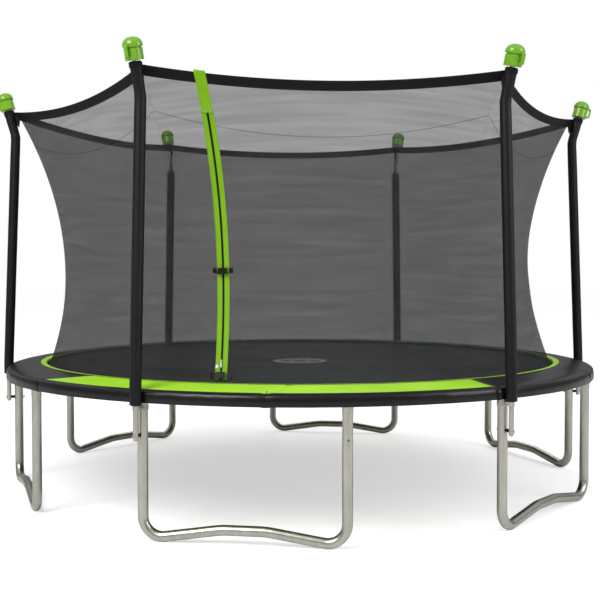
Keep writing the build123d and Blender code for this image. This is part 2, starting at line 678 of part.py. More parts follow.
def main():
    os.makedirs("parts", exist_ok=True)
    leg_middle = POLE_AZ0 + LEG_SPAN_DEG / 2
    uprights, sockets, clamps, bolts, nuts, spacers, straps = [], [], [], [], [], [], []
    base, upright, socket = w_leg(), leg_tube(), t_socket()
    low_section, high_section, cap = lower_pole(), upper_pole(), pole_cap()
    foams = {flag: foam_sleeve(flag) for flag in (False, True)}
    corner = {flag: corner_strap(flag) for flag in (False, True)}
    clamp, spacer = pole_clamp(), low_spacer()
    bolt_pair, nut_pair = [clamp_bolt(), low_bolt()], [clamp_nut(), low_nut()]
    for index in range(SIDES):
        azimuth = pole_azimuth(index)
        number = index + 1
        bare_top = index in BARE_POLES
        keep(f"w_leg_{number}", [turn(base, leg_middle + STEP_DEG * index)])
        uprights += [turn(upright, azimuth), turn(upright, azimuth + LEG_SPAN_DEG)]
        keep(f"top_rail_{number}", rail_pair(index))
        keep(f"pole_lower_{number}", [turn(low_section, azimuth)])
        keep(f"pole_upper_{number}", [turn(high_section, azimuth)])
        keep(f"foam_sleeve_{number}", [turn(foams[bare_top], azimuth)])
        keep(f"pole_cap_{number}", [turn(cap, azimuth)])
        sockets += [turn(socket, azimuth), turn(socket, azimuth + LEG_SPAN_DEG)]
        clamps.append(turn(clamp, azimuth))
        bolts += [turn(bolt, azimuth) for bolt in bolt_pair]
        nuts += [turn(nut, azimuth) for nut in nut_pair]
        spacers.append(turn(spacer, azimuth))
        straps.append(turn(corner[bare_top], azimuth))
    keep("leg_tubes", uprights)
    keep("t_sockets", sockets)
    keep("pole_clamps", clamps)
    keep("pole_bolts", bolts)
    keep("pole_nuts", nuts)
    keep("pole_spacers", spacers)
    keep("corner_straps", straps)

    keep("jump_mat", [jump_mat()])
    keep("mat_hem", [mat_hem()])
    one_ring, one_spring = mat_ring(), spring()
    keep("mat_rings", [turn(one_ring, azimuth) for azimuth in spring_azimuths()])
    keep("springs", [turn(one_spring, azimuth) for azimuth in spring_azimuths()])

    black, green = pad_parts()
    keep("pad_black", [black])
    keep("pad_green", [green])

    panel, band = net_panel(), net_band()
    keep("enclosure_net", [turn(panel, STEP_DEG * index) for index in range(SIDES)])
    keep("net_top_band", [turn(band, STEP_DEG * index) for index in range(SIDES)])

    half_gap = TAPE_GAP / 2
    keep("zip_tapes", [zip_tape(-half_gap - TAPE_W, -half_gap), zip_tape(half_gap, half_gap + TAPE_W)])
    keep("zip_chain", [zip_tape(-half_gap + CHAIN_EDGE, half_gap - CHAIN_EDGE)])
    slider_place = zip_plane(SLIDER_T, SLIDER_OUT).location
    keep("zip_slider", [slider_place * zip_slider()])
    keep("zip_pull", [slider_place * Pos(0, 0, PULL_LIFT) * zip_pull()])
    buckle_sockets, door_straps, plugs = [], [], []
    for t in (BUCKLE_MID_T, BUCKLE_LOW_T):
        place = zip_plane(t, BUCKLE_OUT).location
        buckle_sockets.append(place * buckle_socket())
        door_straps.append(place * door_strap(-1))
        plugs.append((place * buckle_plug(), place * door_strap(1)))
    keep("buckle_sockets", buckle_sockets)
    keep("door_straps", door_straps)
    keep("buckle_plug_mid", plugs[0])
    keep("buckle_plug_low", plugs[1])


main()
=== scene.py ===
"""Looks of a round backyard trampoline with a zip-door net. Metres, +Z up, -Y is the door side."""
import math

import bpy
from mathutils import Matrix, Vector, noise


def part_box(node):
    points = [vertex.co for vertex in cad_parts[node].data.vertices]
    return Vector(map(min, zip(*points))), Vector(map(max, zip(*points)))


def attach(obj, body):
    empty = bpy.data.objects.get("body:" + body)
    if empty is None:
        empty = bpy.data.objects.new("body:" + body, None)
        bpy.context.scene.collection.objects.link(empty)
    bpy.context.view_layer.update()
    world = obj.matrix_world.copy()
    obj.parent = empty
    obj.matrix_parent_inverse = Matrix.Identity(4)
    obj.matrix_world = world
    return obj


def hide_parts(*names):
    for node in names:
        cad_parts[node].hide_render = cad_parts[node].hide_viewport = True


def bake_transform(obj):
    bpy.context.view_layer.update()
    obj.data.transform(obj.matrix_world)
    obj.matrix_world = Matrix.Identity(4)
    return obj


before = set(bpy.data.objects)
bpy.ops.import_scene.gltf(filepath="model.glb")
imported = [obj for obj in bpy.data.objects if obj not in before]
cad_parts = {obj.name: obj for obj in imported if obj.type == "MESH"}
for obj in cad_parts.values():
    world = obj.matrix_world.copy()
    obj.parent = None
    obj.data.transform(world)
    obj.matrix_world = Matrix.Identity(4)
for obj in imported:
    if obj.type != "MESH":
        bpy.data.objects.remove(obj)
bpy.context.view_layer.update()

# ---- Sizes from the frame ----
SIDES = 6
STEP = math.radians(360 / SIDES)
POLE_AZ0 = math.radians(-30)
MAT_LOW, MAT_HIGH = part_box("jump_mat")
MAT_R = MAT_HIGH.x
MAT_TOP = MAT_HIGH.z
HEM_TOP = MAT_TOP + 0.0014
HEM_W = 0.042
RAIL_R, RAIL_Z, RAIL_TUBE_R = 1.8, 0.708, 0.021
SPRINGS = 66
RING_BAR_R = 1.6175
RING_Z = (MAT_LOW.z + MAT_TOP) / 2

# ---- Pad ----
PAD_TOP = [(1.598, 0.7575), (1.598, 0.769), (1.604, 0.773), (1.66, 0.772), (1.8, 0.754), (1.829, 0.747),
           (1.839, 0.736), (1.842, 0.715), (1.841, 0.687)]
PAD_UNDER = [(1.832, 0.687), (1.832, 0.722), (1.826, 0.733), (1.79, 0.745), (1.668, 0.7565)]
RING_EDGE = 1.638
GREEN_EDGE = 1.808
GREEN_FROM, GREEN_TO = math.radians(-54), math.radians(28)
WEDGE = math.radians(7)             # slant of the lime panels' pointed ends
PAD_GAP = 0.0005
PIPING_R, WELT_R = 0.0022, 0.0024

# ---- Poles and sleeves ----
POLE_R, POLE_LEAN_Z = 1.861, 0.76
POLE_BEND = (1.807, 2.179)
POLE_TOP = (1.873, 2.419)
POLE_TUBE_R = 0.013
FOAM_R, FOAM_LOW_Z, FOAM_TOP_S, BARE_TOP_Z = 0.030, 0.675, 0.165, 2.12
BARE_POLES = (3, 4)
SLEEVE_SIDES = 40

# ---- Net ----
NET_LOW_R, NET_LOW_Z = 1.585, 0.75
NET_TOP_Z, NET_SAG, NET_FLAT, NET_BOW, NET_WAIST = 2.332, 0.058, 1.559, 0.04, 0.15
NET_EDGE = 1.0
NET_THICK = 0.0012
BAND_H, BAND_OUT, BAND_THICK = 0.05, 0.0041, 0.0018
ZIP_LOW, ZIP_TOP = 0.022, 0.885
ZIP_LOW_AZ, ZIP_TOP_AZ = math.radians(-19.2), math.radians(-21.6)
TAPE_W, TAPE_GAP, TAPE_OUT, TAPE_THICK = 0.026, 0.011, 0.0039, 0.0014
DOOR_STRAP_W = 0.058
TOOTH_PITCH, TOOTH_HALF = 0.0034, 0.0034
STRAP_OUT, STRAP_BACK, STRAP_TOP = 0.0085, -0.0035, 1.003
STRAP_THREAD_OUT = 0.0098
BUCKLE_HEIGHTS = (0.372, 0.033)

# ---- Springs ----
SPRING_IN_R, SPRING_OUT_R, SPRING_RISE = 1.652, 1.764, 0.022
SPRING_WIRE_R, COIL_R, COIL_TURNS, COIL_SIDES = 0.0014, 0.0074, 27, 10
HOOK_R = 1.632

# ---- Rows of stitches: length, gap and thread radius ----
FINE_SEAM = (0.006, 0.004, 0.0006)
BAND_SEAM = (0.007, 0.004, 0.0006)
PAD_SEAM = (0.007, 0.004, 0.0007)
HEM_SEAM = (0.008, 0.005, 0.0007)
SHORT_SEAM = (0.005, 0.003, 0.0006)
STRAP_SEAM = (0.004, 0.002, 0.0006)
BAR_TACK = (0.005, 0.002, 0.0008)

# ---- Studio ----
FLOOR_GLOW = 0.55
LAMPS = [                           # name, place, size and watts
    ("key", (-4.5, -5.5, 6.0), 4.0, 420),
    ("fill", (6.0, -4.0, 4.0), 4.0, 180),
    ("rim", (1.5, 6.5, 5.0), 3.5, 60),
]


# ---- Shader helpers ----
def principled(name, colour, roughness, **values):
    """New material with its shader; the values are sockets, with _ for a blank."""
    made = bpy.data.materials.new(name)
    made.use_nodes = True
    shader = made.node_tree.nodes["Principled BSDF"]
    shader.inputs["Base Color"].default_value = (*colour, 1)
    shader.inputs["Roughness"].default_value = roughness
    for socket, value in values.items():
        shader.inputs[socket.replace("_", " ")].default_value = value
    return made, made.node_tree, shader


def place(tree, scale=(1, 1, 1), cloth=False):
    """Texture place: the object's own metres, or the cloth's metres along and across."""
    if cloth:
        source = tree.nodes.new("ShaderNodeUVMap")
        source.uv_map = "cloth"
        out = source.outputs["UV"]
    else:
        out = tree.nodes.new("ShaderNodeTexCoord").outputs["Object"]
    mapping = tree.nodes.new("ShaderNodeMapping")
    mapping.inputs["Scale"].default_value = scale
    tree.links.new(out, mapping.inputs["Vector"])
    return mapping.outputs["Vector"]


def clouds(tree, vector, scale, detail=3.0):
    texture = tree.nodes.new("ShaderNodeTexNoise")
    texture.inputs["Scale"].default_value = scale
    texture.inputs["Detail"].default_value = detail
    tree.links.new(vector, texture.inputs["Vector"])
    return texture.outputs["Fac"]


def maths(tree, operation, first, second=None):
    made = tree.nodes.new("ShaderNodeMath")
    made.operation = operation
    for socket, value in zip(made.inputs, (first, second)):
        if isinstance(value, (int, float)):
            socket.default_value = value
        elif value is not None:
            tree.links.new(value, socket)
    return made.outputs[0]


def span(tree, value, low, high, from_low=0.0, from_high=1.0):
    made = tree.nodes.new("ShaderNodeMapRange")
    for name, number in (("From Min", from_low), ("From Max", from_high), ("To Min", low), ("To Max", high)):
        made.inputs[name].default_value = number
    tree.links.new(value, made.inputs["Value"])
    return made.outputs["Result"]


def blend_colour(tree, share, first, second):
    made = tree.nodes.new("ShaderNodeMix")
    made.data_type = "RGBA"
    made.inputs["A"].default_value = (*first, 1)
    made.inputs["B"].default_value = (*second, 1)
    tree.links.new(share, made.inputs["Factor"])
    return made.outputs["Result"]


def contrast(tree, share, low=0, high=1):
    """Noise, which keeps near its middle, spread over a full range."""
    return span(tree, share, low, high, 0.3, 0.7)


def tint(tree, shader, share, dark, light):
    tree.links.new(blend_colour(tree, share, dark, light), shader.inputs["Base Color"])


def roughen(tree, shader, value):
    tree.links.new(value, shader.inputs["Roughness"])


def raise_surface(tree, shader, height, strength, distance):
    made = tree.nodes.new("ShaderNodeBump")
    made.inputs["Strength"].default_value = strength
    made.inputs["Distance"].default_value = distance
    tree.links.new(height, made.inputs["Height"])
    tree.links.new(made.outputs["Normal"], shader.inputs["Normal"])


def threads(tree, vector, along_pitch, across_pitch):
    """Over-and-under thread pattern from 0 to 1 on the first two axes of a place."""
    split = tree.nodes.new("ShaderNodeSeparateXYZ")
    tree.links.new(vector, split.inputs["Vector"])
    waves = []
    for axis, pitch in (("X", along_pitch), ("Y", across_pitch)):
        waves.append(maths(tree, "SINE", maths(tree, "MULTIPLY", split.outputs[axis], 2 * math.pi / pitch)))
    return span(tree, maths(tree, "MULTIPLY", *waves), 0, 1, -1, 1)


# ---- Materials ----
def metal(name, dark, light, rough_low, rough_high, grain=(26, 26, 7)):
    """Drawn or plated steel: faint streaks along the tube, cloudy roughness and fine grain."""
    made, tree, shader = principled(name, light, rough_low, Metallic=1.0)
    streaks = clouds(tree, place(tree, grain), 1.0, 5)
    tint(tree, shader, contrast(tree, streaks), dark, light)
    cloudy = clouds(tree, place(tree), 14, 4)
    roughen(tree, shader, contrast(tree, cloudy, rough_low, rough_high))
    raise_surface(tree, shader, clouds(tree, place(tree), 420, 2), 0.12, 0.0004)
    return made


def moulded(name, dark, light, roughness, coat, specular=0.5):
    """Moulded plastic: slight colour drift, flow marks and an orange-peel skin."""
    made, tree, shader = principled(
        name, light, roughness, Specular_IOR_Level=specular, Coat_Weight=coat, Coat_Roughness=0.08)
    drift = clouds(tree, place(tree), 9, 4)
    tint(tree, shader, contrast(tree, drift), dark, light)
    roughen(tree, shader, span(tree, clouds(tree, place(tree), 60), roughness * 0.8, roughness * 1.3))
    raise_surface(tree, shader, clouds(tree, place(tree), 260, 2), 0.1, 0.0004)
    return made


def vinyl(name, dark, light, roughness, specular, coat):
    """Coated vinyl: leathery grain, soft creases and rubbed patches."""
    made, tree, shader = principled(
        name, light, roughness, Specular_IOR_Level=specular, Coat_Weight=coat, Coat_Roughness=0.16)
    patches = clouds(tree, place(tree), 5, 5)
    tint(tree, shader, contrast(tree, patches), dark, light)
    roughen(tree, shader, span(tree, clouds(tree, place(tree), 22), roughness * 0.8, roughness * 1.25))
    grain = tree.nodes.new("ShaderNodeTexVoronoi")
    grain.inputs["Scale"].default_value = 420
    tree.links.new(place(tree), grain.inputs["Vector"])
    creases = clouds(tree, place(tree), 7, 2)
    height = maths(tree, "ADD", maths(tree, "MULTIPLY", grain.outputs["Distance"], 0.12), creases)
    raise_surface(tree, shader, height, 0.06, 0.0012)
    return made


def woven(name, dark, light, along, across, roughness, sheen=0.03, cloth=True):
    """Woven cloth or webbing: threads over and under, uneven dye, soft sheen."""
    made, tree, shader = principled(name, light, roughness, Specular_IOR_Level=0.2, Sheen_Weight=sheen)
    weave = threads(tree, place(tree, cloth=cloth), along, across)
    dye = clouds(tree, place(tree), 12, 4)
    share = maths(tree, "ADD", maths(tree, "MULTIPLY", weave, 0.5), maths(tree, "MULTIPLY", dye, 0.6))
    tint(tree, shader, share, dark, light)
    roughen(tree, shader, span(tree, dye, roughness * 0.85, roughness * 1.1))
    raise_surface(tree, shader, weave, 0.35, 0.0006)
    return made


def netting(name):
    """Fine open mesh: knitted threads with see-through holes and slow bands of denser knit."""
    made, tree, shader = principled(name, (0.03, 0.03, 0.033), 0.7, Specular_IOR_Level=0.1)
    holes = threads(tree, place(tree, cloth=True), 0.0062, 0.0054)
    bands = clouds(tree, place(tree, (0.9, 14, 1), cloth=True), 1.6, 3)
    cover = maths(tree, "ADD", span(tree, holes, 0.36, 0.56), contrast(tree, bands, -0.05, 0.05))
    tree.links.new(cover, shader.inputs["Alpha"])
    tint(tree, shader, contrast(tree, bands), (0.022, 0.022, 0.025), (0.045, 0.045, 0.05))
    return made


def mat_cloth():
    """Tight polypropylene weave with a soft sheen, and faint darker and lighter noise streaks stretched along
    Y that also vary the roughness.
    """
    made, tree, shader = principled(
        "mat_cloth", (0.03, 0.03, 0.032), 0.5, Specular_IOR_Level=0.3, Sheen_Weight=0.03)
    weave = threads(tree, place(tree), 0.0042, 0.0042)
    long_streaks = clouds(tree, place(tree, (1, 0.35, 1)), 2.2, 5)
    share = maths(tree, "ADD", maths(tree, "MULTIPLY", weave, 0.35), maths(tree, "MULTIPLY", long_streaks, 0.7))
    # Colour: the weave plus faint darker and lighter noise streaks stretched along Y, over the whole mat.
    tint(tree, shader, share, (0.016, 0.017, 0.017), (0.036, 0.038, 0.037))
    roughen(tree, shader, contrast(tree, long_streaks, 0.36, 0.56))
    raise_surface(tree, shader, weave, 0.2, 0.0006)
    return made


GALVANISED = metal("galvanised", (0.50, 0.485, 0.43), (0.58, 0.565, 0.505), 0.27, 0.36)
POLISHED = metal("polished_steel", (0.50, 0.49, 0.46), (0.62, 0.61, 0.58), 0.2, 0.3)
ZINC = metal("zinc", (0.45, 0.44, 0.41), (0.62, 0.61, 0.58), 0.32, 0.45)
SPRING_STEEL = metal("spring_steel", (0.48, 0.48, 0.47), (0.70, 0.70, 0.69), 0.2, 0.36)
DIE_CAST = metal("die_cast", (0.20, 0.20, 0.195), (0.32, 0.32, 0.31), 0.36, 0.48)
LIME_PLASTIC = moulded("lime_plastic", (0.14, 0.36, 0.008), (0.19, 0.45, 0.012), 0.22, 0.3)
BLACK_PLASTIC = moulded("black_plastic", (0.002, 0.002, 0.002), (0.005, 0.005, 0.0055), 0.42, 0.0, 0.2)
BLACK_VINYL = vinyl("black_vinyl", (0.003, 0.003, 0.0035), (0.005, 0.005, 0.006), 0.3, 0.35, 0.08)
LIME_VINYL = vinyl("lime_vinyl", (0.40, 0.80, 0.020), (0.46, 0.88, 0.030), 0.38, 0.35, 0.0)
SLEEVE = woven("sleeve_cover", (0.006, 0.006, 0.007), (0.012, 0.012, 0.014), 0.003, 0.003, 0.4, 0.0)
BLACK_WEB = woven("black_web", (0.002, 0.002, 0.002), (0.006, 0.006, 0.006), 0.005, 0.0028, 0.7, 0.0)
LIME_WEB = woven("lime_web", (0.15, 0.36, 0.004), (0.25, 0.53, 0.008), 0.005, 0.0026, 0.6, 0.0)
BLACK_THREAD = woven("black_thread", (0.02, 0.02, 0.02), (0.05, 0.05, 0.05), 0.001, 0.001, 0.6, cloth=False)
LIME_THREAD = woven("lime_thread", (0.09, 0.2, 0.015), (0.14, 0.3, 0.02), 0.001, 0.001, 0.6, cloth=False)
WHITE_THREAD = woven("white_thread", (0.6, 0.6, 0.58), (0.85, 0.85, 0.83), 0.001, 0.001, 0.6, cloth=False)
NETTING = netting("netting")
MAT_CLOTH = mat_cloth()
PRINT = woven("pale_print", (0.62, 0.63, 0.62), (0.85, 0.86, 0.85), 0.0042, 0.0042, 0.55, cloth=False)


# ---- Shape helpers ----
class Shape:
    """Gathers one piece's points, faces and cloth coordinates."""

    def __init__(self):
        self.points, self.faces, self.cloth = [], [], []

    def grid(self, rows, cloth=None, close_rows=False, close_across=False):
        base, count = len(self.points), len(rows[0])
        for i, row in enumerate(rows):
            self.points.extend(row)
            self.cloth.extend(cloth[i] if cloth else [(0.0, 0.0)] * count)
        for i in range(len(rows) - (0 if close_rows else 1)):
            below, above = base + i * count, base + (i + 1) % len(rows) * count
            for j in range(count - (0 if close_across else 1)):
                k = (j + 1) % count
                self.faces.append((below + j, below + k, above + k, above + j))
        return base, count

    def solid(self, sections, cloth=None):
        """Closed sections in a row, with both ends filled."""
        base, count = self.grid(sections, cloth, close_across=True)
        last = base + (len(sections) - 1) * count
        self.faces.append(tuple(base + j for j in reversed(range(count))))
        self.faces.append(tuple(last + j for j in range(count)))

    def shell(self, point, across, up, thick):
        """Thin closed shell round the surface point(a, b), with cloth coordinates in metres."""
        nudge = 1e-4
        sections, cloth = [], []
        for b in up:
            outer, inner, flat = [], [], []
            for a in across:
                here = point(a, b)
                side = point(a + nudge, b) - point(a - nudge, b)
                rise = point(a, b + nudge) - point(a, b - nudge)
                normal = side.cross(rise).normalized() * (thick / 2)
                outer.append(here + normal)
                inner.append(here - normal)
                flat.append((side.length / (2 * nudge) * a, rise.length / (2 * nudge) * b))
            sections.append(outer + inner[::-1])
            cloth.append(flat + flat[::-1])
        base, count = self.grid(sections, cloth, close_across=True)
        half = len(across)
        for start, flip in ((base, False), (base + (len(sections) - 1) * count, True)):
            for j in range(half - 1):
                face = (start + j, start + count - 1 - j, start + count - 2 - j, start + j + 1)
                self.faces.append(face[::-1] if flip else face)

    def tube(self, path, radius, sides=6, closed=False):
        """Round tube along points, its radius a number or one for each point."""
        radii = radius if isinstance(radius, list) else [radius] * len(path)
        rows = []
        side = None
        for i, here in enumerate(path):
            before = path[i - 1] if i or closed else here
            after = path[(i + 1) % len(path)] if i < len(path) - 1 or closed else here
            along = (after - before).normalized()
            if side is None:
                side = along.orthogonal().normalized()
            side = (side - along * side.dot(along)).normalized()
            other = along.cross(side)
            row = []
            for j in range(sides):
                angle = 2 * math.pi * j / sides
                row.append(here + (side * math.cos(angle) + other * math.sin(angle)) * radii[i])
            rows.append(row)
        if closed:
            self.grid(rows, close_rows=True, close_across=True)
        else:
            self.solid(rows)

    def strip(self, path, wide, thick):
        """Flat strap along points; wide is its half width as a vector, thick its thickness."""
        sections, cloth, run = [], [], 0.0
        for i, here in enumerate(path):
            along = (path[min(i + 1, len(path) - 1)] - path[max(i - 1, 0)]).normalized()
            lift = along.cross(wide).normalized() * (thick / 2)
            run += (here - path[i - 1]).length if i else 0.0
            sections.append([here - wide - lift, here + wide - lift, here + wide + lift, here - wide + lift])
            cloth.append([(run, 0), (run, 2 * wide.length), (run, 2 * wide.length), (run, 0)])
        self.solid(sections, cloth)

    def stitches(self, path, length, gap, radius):
        """Row of short raised threads along points."""
        run, total = 0.0, sum((b - a).length for a, b in zip(path, path[1:]))
        while run + length < total:
            ends = [walk(path, run), walk(path, run + length / 2), walk(path, run + length)]
            self.tube(ends, [radius * 0.5, radius, radius * 0.5], 4)
            run += length + gap

    def piece(self, name, material, body="frame", slot=None, smooth=True, replaced=()):
        mesh = bpy.data.meshes.new(name)
        mesh.from_pydata(self.points, [], self.faces)
        layer = mesh.uv_layers.new(name="cloth")
        for loop in mesh.loops:
            layer.data[loop.index].uv = self.cloth[loop.vertex_index]
        mesh.polygons.foreach_set("use_smooth", [smooth] * len(mesh.polygons))
        if smooth:
            mesh.set_sharp_from_angle(angle=math.radians(40))
        mesh.materials.append(material)
        made = bpy.data.objects.new(name, mesh)
        bpy.context.scene.collection.objects.link(made)
        if body:
            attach(made, body)
        if replaced:
            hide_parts(*replaced)
        return made


def walk(path, distance):
    """Point at a distance along points."""
    for a, b in zip(path, path[1:]):
        step = (b - a).length
        if distance <= step:
            return a.lerp(b, distance / step if step else 0)
        distance -= step
    return path[-1].copy()


def spread(low, high, count):
    return [low + (high - low) * i / (count - 1) for i in range(count)]


def polar(radius, azimuth, z):
    """Point from the axis; azimuth is measured from -Y towards +X."""
    return Vector((radius * math.sin(azimuth), -radius * math.cos(azimuth), z))


def turned(point, index):
    """Point of the front panel moved to another of the six sides."""
    return Matrix.Rotation(STEP * index, 3, "Z") @ point


# ---- Net surface ----
def net_point(side, t, out=0.0):
    """Front panel: side runs -1..1 between the poles, t runs 0..1 from the mat to the top."""
    edge = (1 - t) * NET_LOW_R * math.cos(STEP / 2) + t * NET_FLAT - 4 * NET_WAIST * t * (1 - t)
    low_y = math.sqrt(NET_LOW_R**2 - (side * NET_LOW_R / 2) ** 2)
    depth = (1 - t) * low_y + t * (NET_FLAT - NET_BOW * (1 - side**2)) - 4 * NET_WAIST * t * (1 - t)
    top_z = NET_TOP_Z - NET_SAG * (1 - side**2)
    point = Vector((side * edge * math.tan(STEP / 2), -depth, NET_LOW_Z + t * (top_z - NET_LOW_Z)))
    if out:
        nudge = 0.002
        across = net_point(side + nudge, t) - net_point(side - nudge, t)
        point += across.cross(net_point(side, t + nudge) - net_point(side, t - nudge)).normalized() * out
    return point


def zip_side(t):
    """Side coordinate of the zipper's line at a height, found by halving."""
    azimuth = ZIP_LOW_AZ + (ZIP_TOP_AZ - ZIP_LOW_AZ) * (t - ZIP_LOW) / (ZIP_TOP - ZIP_LOW)
    low, high = -1.0, 1.0
    for _ in range(30):
        middle = (low + high) / 2
        point = net_point(middle, t)
        if math.atan2(point.x, -point.y) < azimuth:
            low = middle
        else:
            high = middle
    return low


def door_point(across, t, out):
    """Point beside the zipper's line, across in metres."""
    side = zip_side(t)
    metre = (net_point(side + 0.01, t) - net_point(side, t)).length / 0.01
    return net_point(side + across / metre, t, out)


def seam_t(side):
    """Height of the sewn seam below the top band."""
    return 0.823 + 0.044 * side**2


def build_net():
    band_low = 1 - BAND_H / (NET_TOP_Z - NET_LOW_Z)
    black, thread, seams = Shape(), Shape(), Shape()
    for index in range(SIDES):

        def cloth_at(side, t, out=0.0, index=index):
            pull = (1 - side**2) * t * (1 - t) * 4
            wave = noise.noise(Vector((side * 2.3, t * 9, index * 3.1))) * 0.004 * pull
            return turned(net_point(side, t, wave + out), index)

        panel = Shape()
        panel.shell(cloth_at, spread(-NET_EDGE, NET_EDGE, 49), spread(0, 1, 41), NET_THICK)
        piece = panel.piece(f"net_panel_{index + 1}", NETTING, slot="net_mesh", replaced=["enclosure_net"])

        def band_at(side, t, index=index):
            return turned(net_point(side, t, BAND_OUT + 0.0006 * math.sin(side * 60 + index)), index)

        black.shell(band_at, spread(-NET_EDGE, NET_EDGE, 61), spread(band_low, 1, 4), BAND_THICK)
        for share in (0.12, 0.88):
            t = band_low + (1 - band_low) * share
            line = [turned(net_point(s, t, BAND_OUT + BAND_THICK / 2 + 0.0007), index)
                    for s in spread(-0.98, 0.98, 40)]
            thread.stitches(line, *BAND_SEAM)
        line = [turned(net_point(s, seam_t(s), 0.0016), index) for s in spread(-0.995, 0.995, 40)]
        seams.tube(line, 0.0009, 5)
        hem = [turned(net_point(s, 0.006, 0.0), index) for s in spread(-0.995, 0.995, 30)]
        seams.tube(hem, 0.004, 6)
    black.piece("top_band_webbing", BLACK_WEB, slot="black_webbing", replaced=["net_top_band"])
    thread.piece("top_band_stitches", BLACK_THREAD, slot="black_webbing")
    seams.piece("net_seam_cords", BLACK_WEB, slot="black_webbing")


# ---- Door ----
def build_door():
    tapes, stitched, teeth, lock = Shape(), Shape(), Shape(), Shape()
    heights = spread(ZIP_LOW, ZIP_TOP, 61)
    half_gap = TAPE_GAP / 2
    for sign in (-1, 1):
        near, far = sign * half_gap, sign * (half_gap + TAPE_W)
        low, high = min(near, far), max(near, far)
        tapes.shell(lambda a, t: door_point(a, t, TAPE_OUT), spread(low, high, 5), heights, TAPE_THICK)
        for inset in (0.003, TAPE_W - 0.004):
            thread_out = TAPE_OUT + TAPE_THICK / 2 + 0.0006
            row = [door_point(sign * (half_gap + inset), t, thread_out) for t in heights]
            stitched.stitches(row, *FINE_SEAM)
    tapes.piece("zip_tape_webbing", LIME_WEB, slot="green_webbing", replaced=["zip_tapes"])
    stitched.piece("zip_tape_stitches", LIME_THREAD, slot="green_webbing")

    teeth.shell(lambda a, t: door_point(a, t, TAPE_OUT - 0.0006), spread(-half_gap, half_gap, 4),
                heights, 0.0008)
    line = [door_point(0, t, TAPE_OUT + 0.0006) for t in heights]
    length = sum((b - a).length for a, b in zip(line, line[1:]))
    for number in range(int(length / TOOTH_PITCH)):
        here = walk(line, number * TOOTH_PITCH)
        along = (walk(line, number * TOOTH_PITCH + 0.002) - here).normalized()
        out = Vector((here.x, here.y, 0)).normalized()
        across = along.cross(out).normalized() * (TOOTH_HALF if number % 2 else -TOOTH_HALF)
        lock.tube([here - across * 0.35, here + across * 0.5, here + across], [0.0013, 0.0015, 0.0011], 5)
    teeth.piece("zip_backing", BLACK_WEB, slot="zip_teeth", replaced=["zip_chain"])
    lock.piece("zip_teeth_rows", BLACK_PLASTIC, slot="zip_teeth")

    strap, rows, white = Shape(), Shape(), Shape()
    half = DOOR_STRAP_W / 2
    wide = spread(-half, half, 7)
    strap.shell(lambda a, t: door_point(a, t, STRAP_OUT), wide, spread(ZIP_TOP - 0.004, STRAP_TOP, 24),
                TAPE_THICK)
    strap.shell(lambda a, t: door_point(a, t, STRAP_BACK), wide, spread(0.955, STRAP_TOP, 8), TAPE_THICK)
    crown = [(STRAP_OUT, STRAP_TOP), (0.006, 1.0062), (0.0015, 1.0062), (STRAP_BACK, STRAP_TOP)]
    for a, b in zip(crown, crown[1:]):
        def over(x, share, a=a, b=b):
            return door_point(x, a[1] + (b[1] - a[1]) * share, a[0] + (b[0] - a[0]) * share)

        strap.shell(over, wide, [0.0, 0.5, 1.0], TAPE_THICK)
    strap.piece("door_strap_webbing", LIME_WEB, slot="green_webbing")
    for inset in (-half + 0.004, half - 0.004):
        rows.stitches([door_point(inset, t, STRAP_THREAD_OUT) for t in spread(ZIP_TOP, 1.0, 20)], *FINE_SEAM)
    for t in (0.952, 0.958):
        line = [door_point(a, t, STRAP_THREAD_OUT) for a in spread(-half + 0.004, half - 0.004, 6)]
        rows.stitches(line, *SHORT_SEAM)
    rows.piece("door_strap_stitches", LIME_THREAD, slot="green_webbing")
    for t in (ZIP_TOP + 0.001, ZIP_TOP + 0.006):
        line = [door_point(a, t, STRAP_THREAD_OUT) for a in spread(-half + 0.003, half - 0.003, 6)]
        white.stitches(line, *BAR_TACK)
    white.piece("zip_bar_tack", WHITE_THREAD, slot="green_webbing")

    tab = Shape()
    tab.shell(lambda a, t: door_point(a, t, TAPE_OUT + 0.0016 + 0.003 * (0.07 - t) / 0.01),
              spread(-0.030, -0.016, 5), spread(0.056, 0.068, 5), 0.0006)
    tab.piece("sewn_white_tab", WHITE_THREAD, slot="green_webbing")


def build_door_straps():
    """Webbing tails of the two buckles, sewn to the net beside the zipper."""
    tails, rows = Shape(), Shape()
    for t in BUCKLE_HEIGHTS:
        def tail(a, share, t=t):
            lift = 0.018 - 0.012 * ((-0.033 - a) / 0.021) ** 2
            return door_point(a, t + share, lift)

        half = 0.013 / (NET_TOP_Z - NET_LOW_Z)
        tails.shell(tail, spread(-0.053, -0.033, 6), spread(-half, half, 4), 0.0018)
        for a in (-0.050, -0.045):
            line = [tail(a, share) + Vector((0, -0.0016, 0)) for share in spread(-half * 0.8, half * 0.8, 4)]
            rows.stitches(line, *STRAP_SEAM)
    tails.piece("buckle_tail_webbing", BLACK_WEB, slot="black_webbing", replaced=["door_straps"])
    rows.piece("buckle_tail_stitches", BLACK_THREAD, slot="black_webbing")


